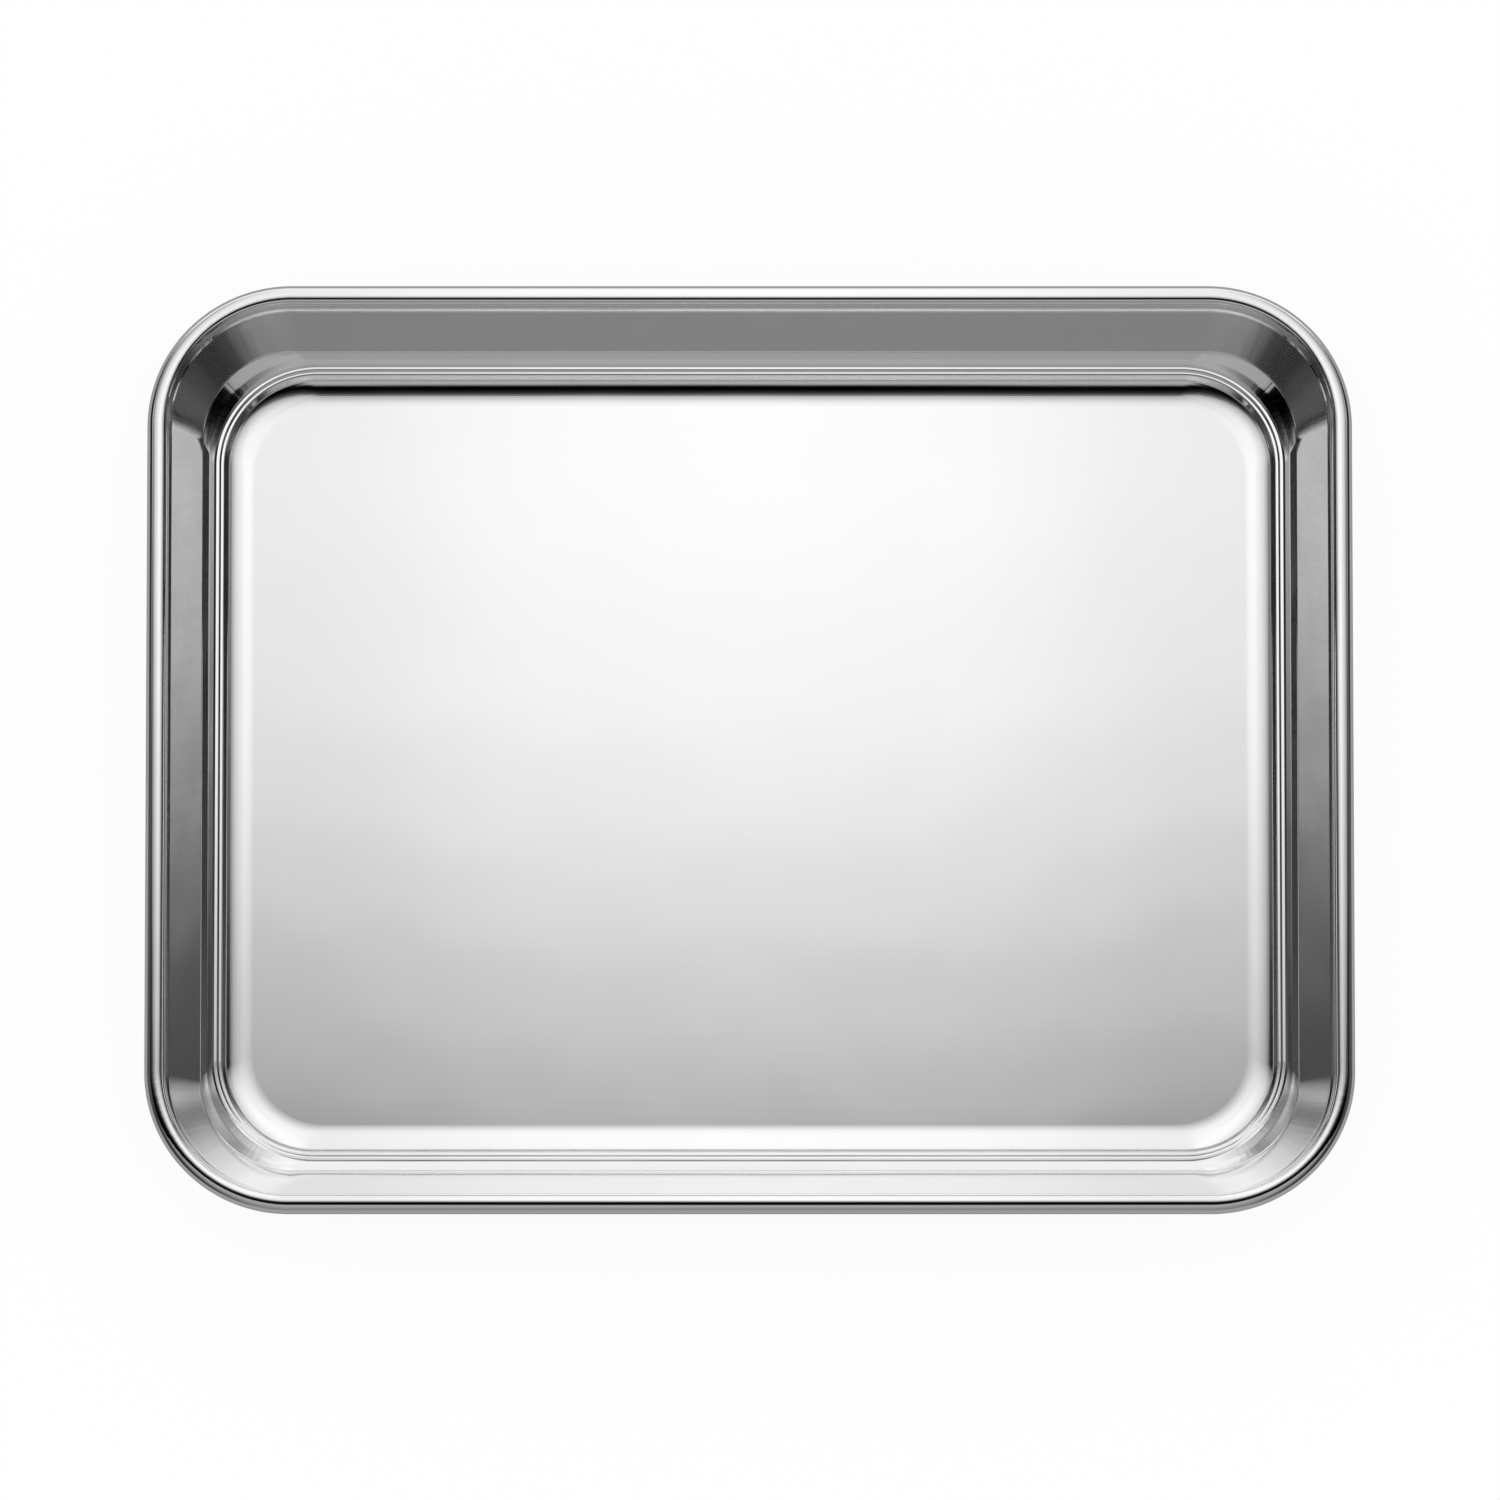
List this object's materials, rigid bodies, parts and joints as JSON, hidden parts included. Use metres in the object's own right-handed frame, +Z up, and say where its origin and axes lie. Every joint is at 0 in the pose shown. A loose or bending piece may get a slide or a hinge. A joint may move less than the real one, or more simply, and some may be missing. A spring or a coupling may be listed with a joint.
{
  "type": "sheet pan",
  "caption": "Shallow rectangular sheet pan in polished stainless steel, with rounded corners, sloping stepped walls, a flat floor and a rolled rim closed over a wire.",
  "frame": {"origin": "middle of the underside of the floor, which is the plane the pan stands on", "axes": "+Z up out of the pan, +X along its longer side, +Y towards the back, across its shorter side"},
  "size_m": [0.315, 0.247, 0.0254],
  "materials": {
    "polished_steel": "polished",
    "steel_wire": "satin"
  },
  "bodies": {
    "root": {"pan_shell": "polished_steel", "rim_wire": "steel_wire"}
  },
  "joints": []
}
